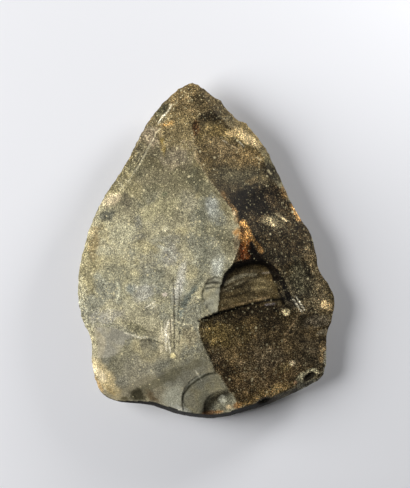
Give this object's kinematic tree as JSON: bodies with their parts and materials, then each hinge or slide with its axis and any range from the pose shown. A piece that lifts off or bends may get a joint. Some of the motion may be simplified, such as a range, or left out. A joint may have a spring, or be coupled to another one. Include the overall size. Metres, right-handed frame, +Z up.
{
  "type": "stone hand axe",
  "caption": "Knapped flint hand axe, pointed at one end and thick at the butt, with flake scars on both faces, lying flat on its underside.",
  "frame": {"origin": "on the surface that the axe lies on, under the middle of its outline", "axes": "+Z up, away from that surface; +Y from the thick butt to the pointed tip; +X across the axe, to the right seen from above with the tip away"},
  "size_m": [0.0763, 0.1002, 0.0228],
  "materials": {
    "flint": "patinated grey-olive flint on the left face, dark brown flint in the scars on the right, with a satin surface"
  },
  "bodies": {
    "root": {"hand_axe": "flint"}
  },
  "joints": []
}
